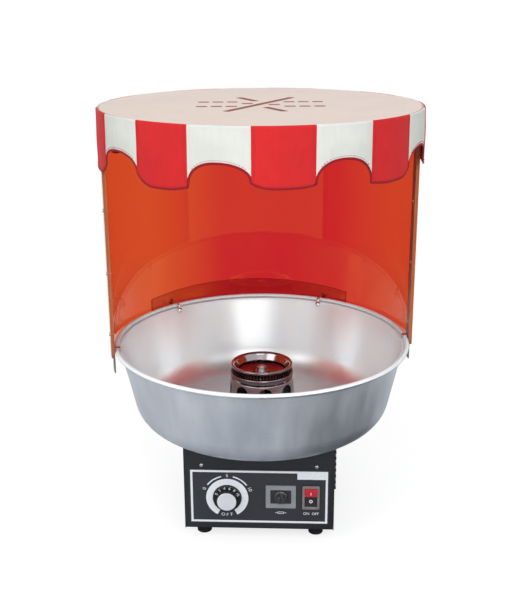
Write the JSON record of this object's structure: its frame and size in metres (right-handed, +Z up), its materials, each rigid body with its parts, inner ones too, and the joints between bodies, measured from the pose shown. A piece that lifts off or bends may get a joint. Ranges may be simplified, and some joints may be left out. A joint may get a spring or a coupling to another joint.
{
  "type": "electric cotton candy machine",
  "caption": "Electric floss machine: control cabinet, spinning sugar head in a wide bowl, tinted round shield open in front, canopy with a scalloped cloth valance.",
  "frame": {"origin": "on the ground under the spinning head's axis", "axes": "+Z up along the head's axis, -Y towards the control panel and the shield's opening, +X to the right seen from the front"},
  "size_m": [0.4358, 0.436, 0.5985],
  "materials": {
    "dark_enamel": "semi-gloss dark grey enamel",
    "front_plate": "satin dark plate with pale printing",
    "black_rubber": "matt black",
    "zinc_steel": "bright zinc",
    "black_plastic": "black moulded",
    "silver_cap": "satin",
    "grey_plate": "grey moulded",
    "red_rocker": "clear red",
    "fuse_glass": "clear tube with metal ends",
    "mount_steel": "plain steel",
    "cast_alloy": "as cast",
    "lamination": "stacked sheet",
    "copper": "enamelled copper",
    "slip_brass": "turned",
    "carbon": "pressed carbon",
    "spun_alloy": "spun, satin",
    "head_alloy": "polished",
    "black_band": "black, slotted",
    "heater_alloy": "corrugated ribbon",
    "ceramic_pad": "pale ceramic",
    "orange_acrylic": "transparent orange-red bent sheet",
    "grey_strip": "dark grey strip",
    "board_plastic": "off-white sheet",
    "valance_cloth": "red and white woven cloth"
  },
  "bodies": {
    "base": {"chassis": "dark_enamel", "cabinet_cover": "dark_enamel", "rubber_feet": "black_rubber", "foot_screws": "zinc_steel", "cover_screws": "zinc_steel", "mains_inlet": "black_plastic", "inlet_screws": "zinc_steel", "control_plate": "front_plate", "heat_control": "black_plastic", "fuse_plate": "grey_plate", "fuse_holder": "black_plastic", "switch_housing": "black_plastic", "motor_plate": "mount_steel", "motor_isolators": "black_rubber", "isolator_screws": "zinc_steel", "motor_can": "mount_steel", "motor_upper_bell": "cast_alloy", "motor_lower_bell": "cast_alloy", "motor_screws": "zinc_steel", "stator_core": "lamination", "stator_windings": "copper", "shaft_bearings": "zinc_steel", "brush_bridge": "mount_steel", "brush_holders": "black_plastic", "carbon_brushes": "carbon", "air_collar": "spun_alloy", "collar_gasket": "black_rubber", "collar_screws": "zinc_steel", "bowl_seat": "black_rubber"},
    "spinner": {"rotor_core": "lamination", "drive_shaft": "zinc_steel", "cooling_fan": "black_plastic", "slip_ring_hub": "black_plastic", "slip_rings": "slip_brass", "head_base": "head_alloy", "floss_band": "black_band", "head_cap_ring": "head_alloy", "heater_ribbon": "heater_alloy", "heater_insulators": "ceramic_pad", "head_studs": "zinc_steel", "heater_leads": "black_plastic", "hub_nut": "zinc_steel"},
    "dial": {"dial_spindle": "zinc_steel", "heat_knob": "black_plastic", "knob_cap": "silver_cap"},
    "rocker": {"power_rocker": "red_rocker"},
    "fuse": {"fuse_cap": "black_plastic", "fuse_link": "fuse_glass"},
    "bowl": {"floss_bowl": "spun_alloy"},
    "shield": {"shield_sheet": "orange_acrylic", "shield_backing": "orange_acrylic", "shield_posts": "grey_strip", "post_rivets": "zinc_steel", "rim_hooks": "zinc_steel", "rim_saddles": "spun_alloy"},
    "canopy": {"canopy_board": "board_plastic", "canopy_valance": "valance_cloth"}
  },
  "joints": [
    {"name": "head_spin", "type": "hinge", "parent": "base", "child": "spinner", "pos_m": [0, 0, 0.2142], "axis": [0, 0, 1], "continuous": true},
    {"name": "heat_dial", "type": "hinge", "parent": "base", "child": "dial", "pos_m": [-0.0446, -0.1098, 0.0661], "axis": [0, 1, 0], "range_deg": [0, 280]},
    {"name": "power_switch", "type": "hinge", "parent": "base", "child": "rocker", "pos_m": [0.0725, -0.1036, 0.0693], "axis": [-1, 0, 0], "range_deg": [0, 22]},
    {"name": "fuse_pull", "type": "slide", "parent": "base", "child": "fuse", "axis": [0, -1, 0], "range_m": [0, 0.04]},
    {"name": "bowl_lift", "type": "slide", "parent": "base", "child": "bowl", "axis": [0, 0, 1], "range_m": [0, 0.12]},
    {"name": "shield_lift", "type": "slide", "parent": "bowl", "child": "shield", "axis": [0, 0, 1], "range_m": [0, 0.05]},
    {"name": "canopy_lift", "type": "slide", "parent": "shield", "child": "canopy", "axis": [0, 0, 1], "range_m": [0, 0.1]}
  ]
}
